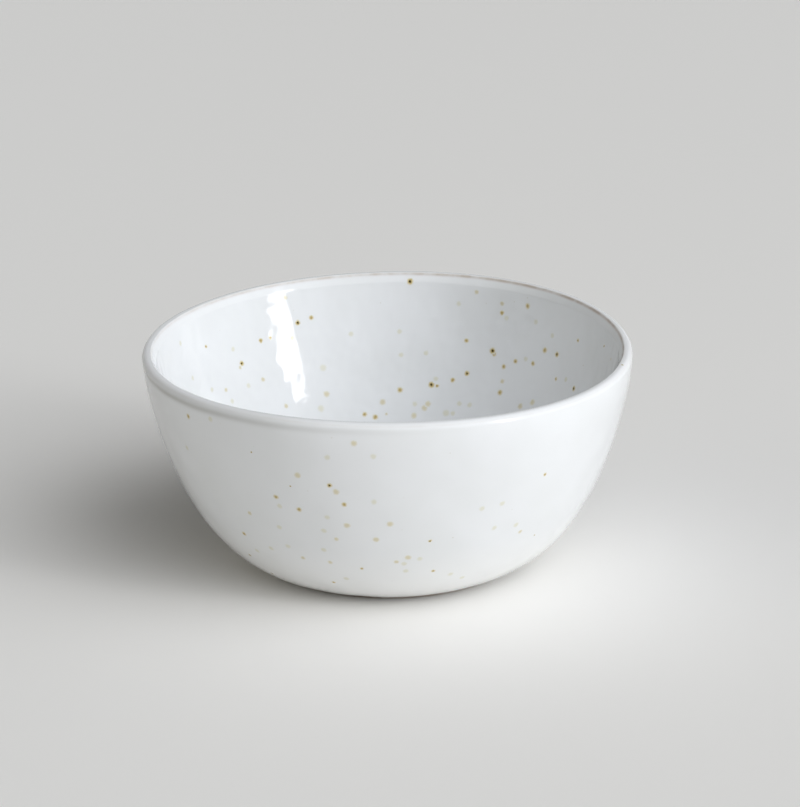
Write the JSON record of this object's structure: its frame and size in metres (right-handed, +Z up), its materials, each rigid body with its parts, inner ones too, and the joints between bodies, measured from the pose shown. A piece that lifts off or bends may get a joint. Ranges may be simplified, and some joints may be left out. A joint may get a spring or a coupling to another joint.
{
  "type": "main course bowl",
  "caption": "Round, deep, hand-thrown stoneware bowl with a thin rounded lip, a low turned foot ring and a glossy white speckled glaze, for serving and eating a main course.",
  "frame": {"origin": "on the surface that the bowl stands on, under the middle of its rim", "axes": "+Z up out of the bowl's mouth; +X to the right and -Y towards the viewer in the picture"},
  "size_m": [0.18, 0.18, 0.0831],
  "materials": {
    "fired_clay": "bare, matt, warm buff-brown stoneware",
    "white_glaze": "glossy cool-white glaze with scattered iron specks, breaking to tan along the lip"
  },
  "bodies": {
    "root": {"stoneware_body": "fired_clay", "inside_glaze": "white_glaze", "outside_glaze": "white_glaze", "underside_glaze": "white_glaze"}
  },
  "joints": []
}
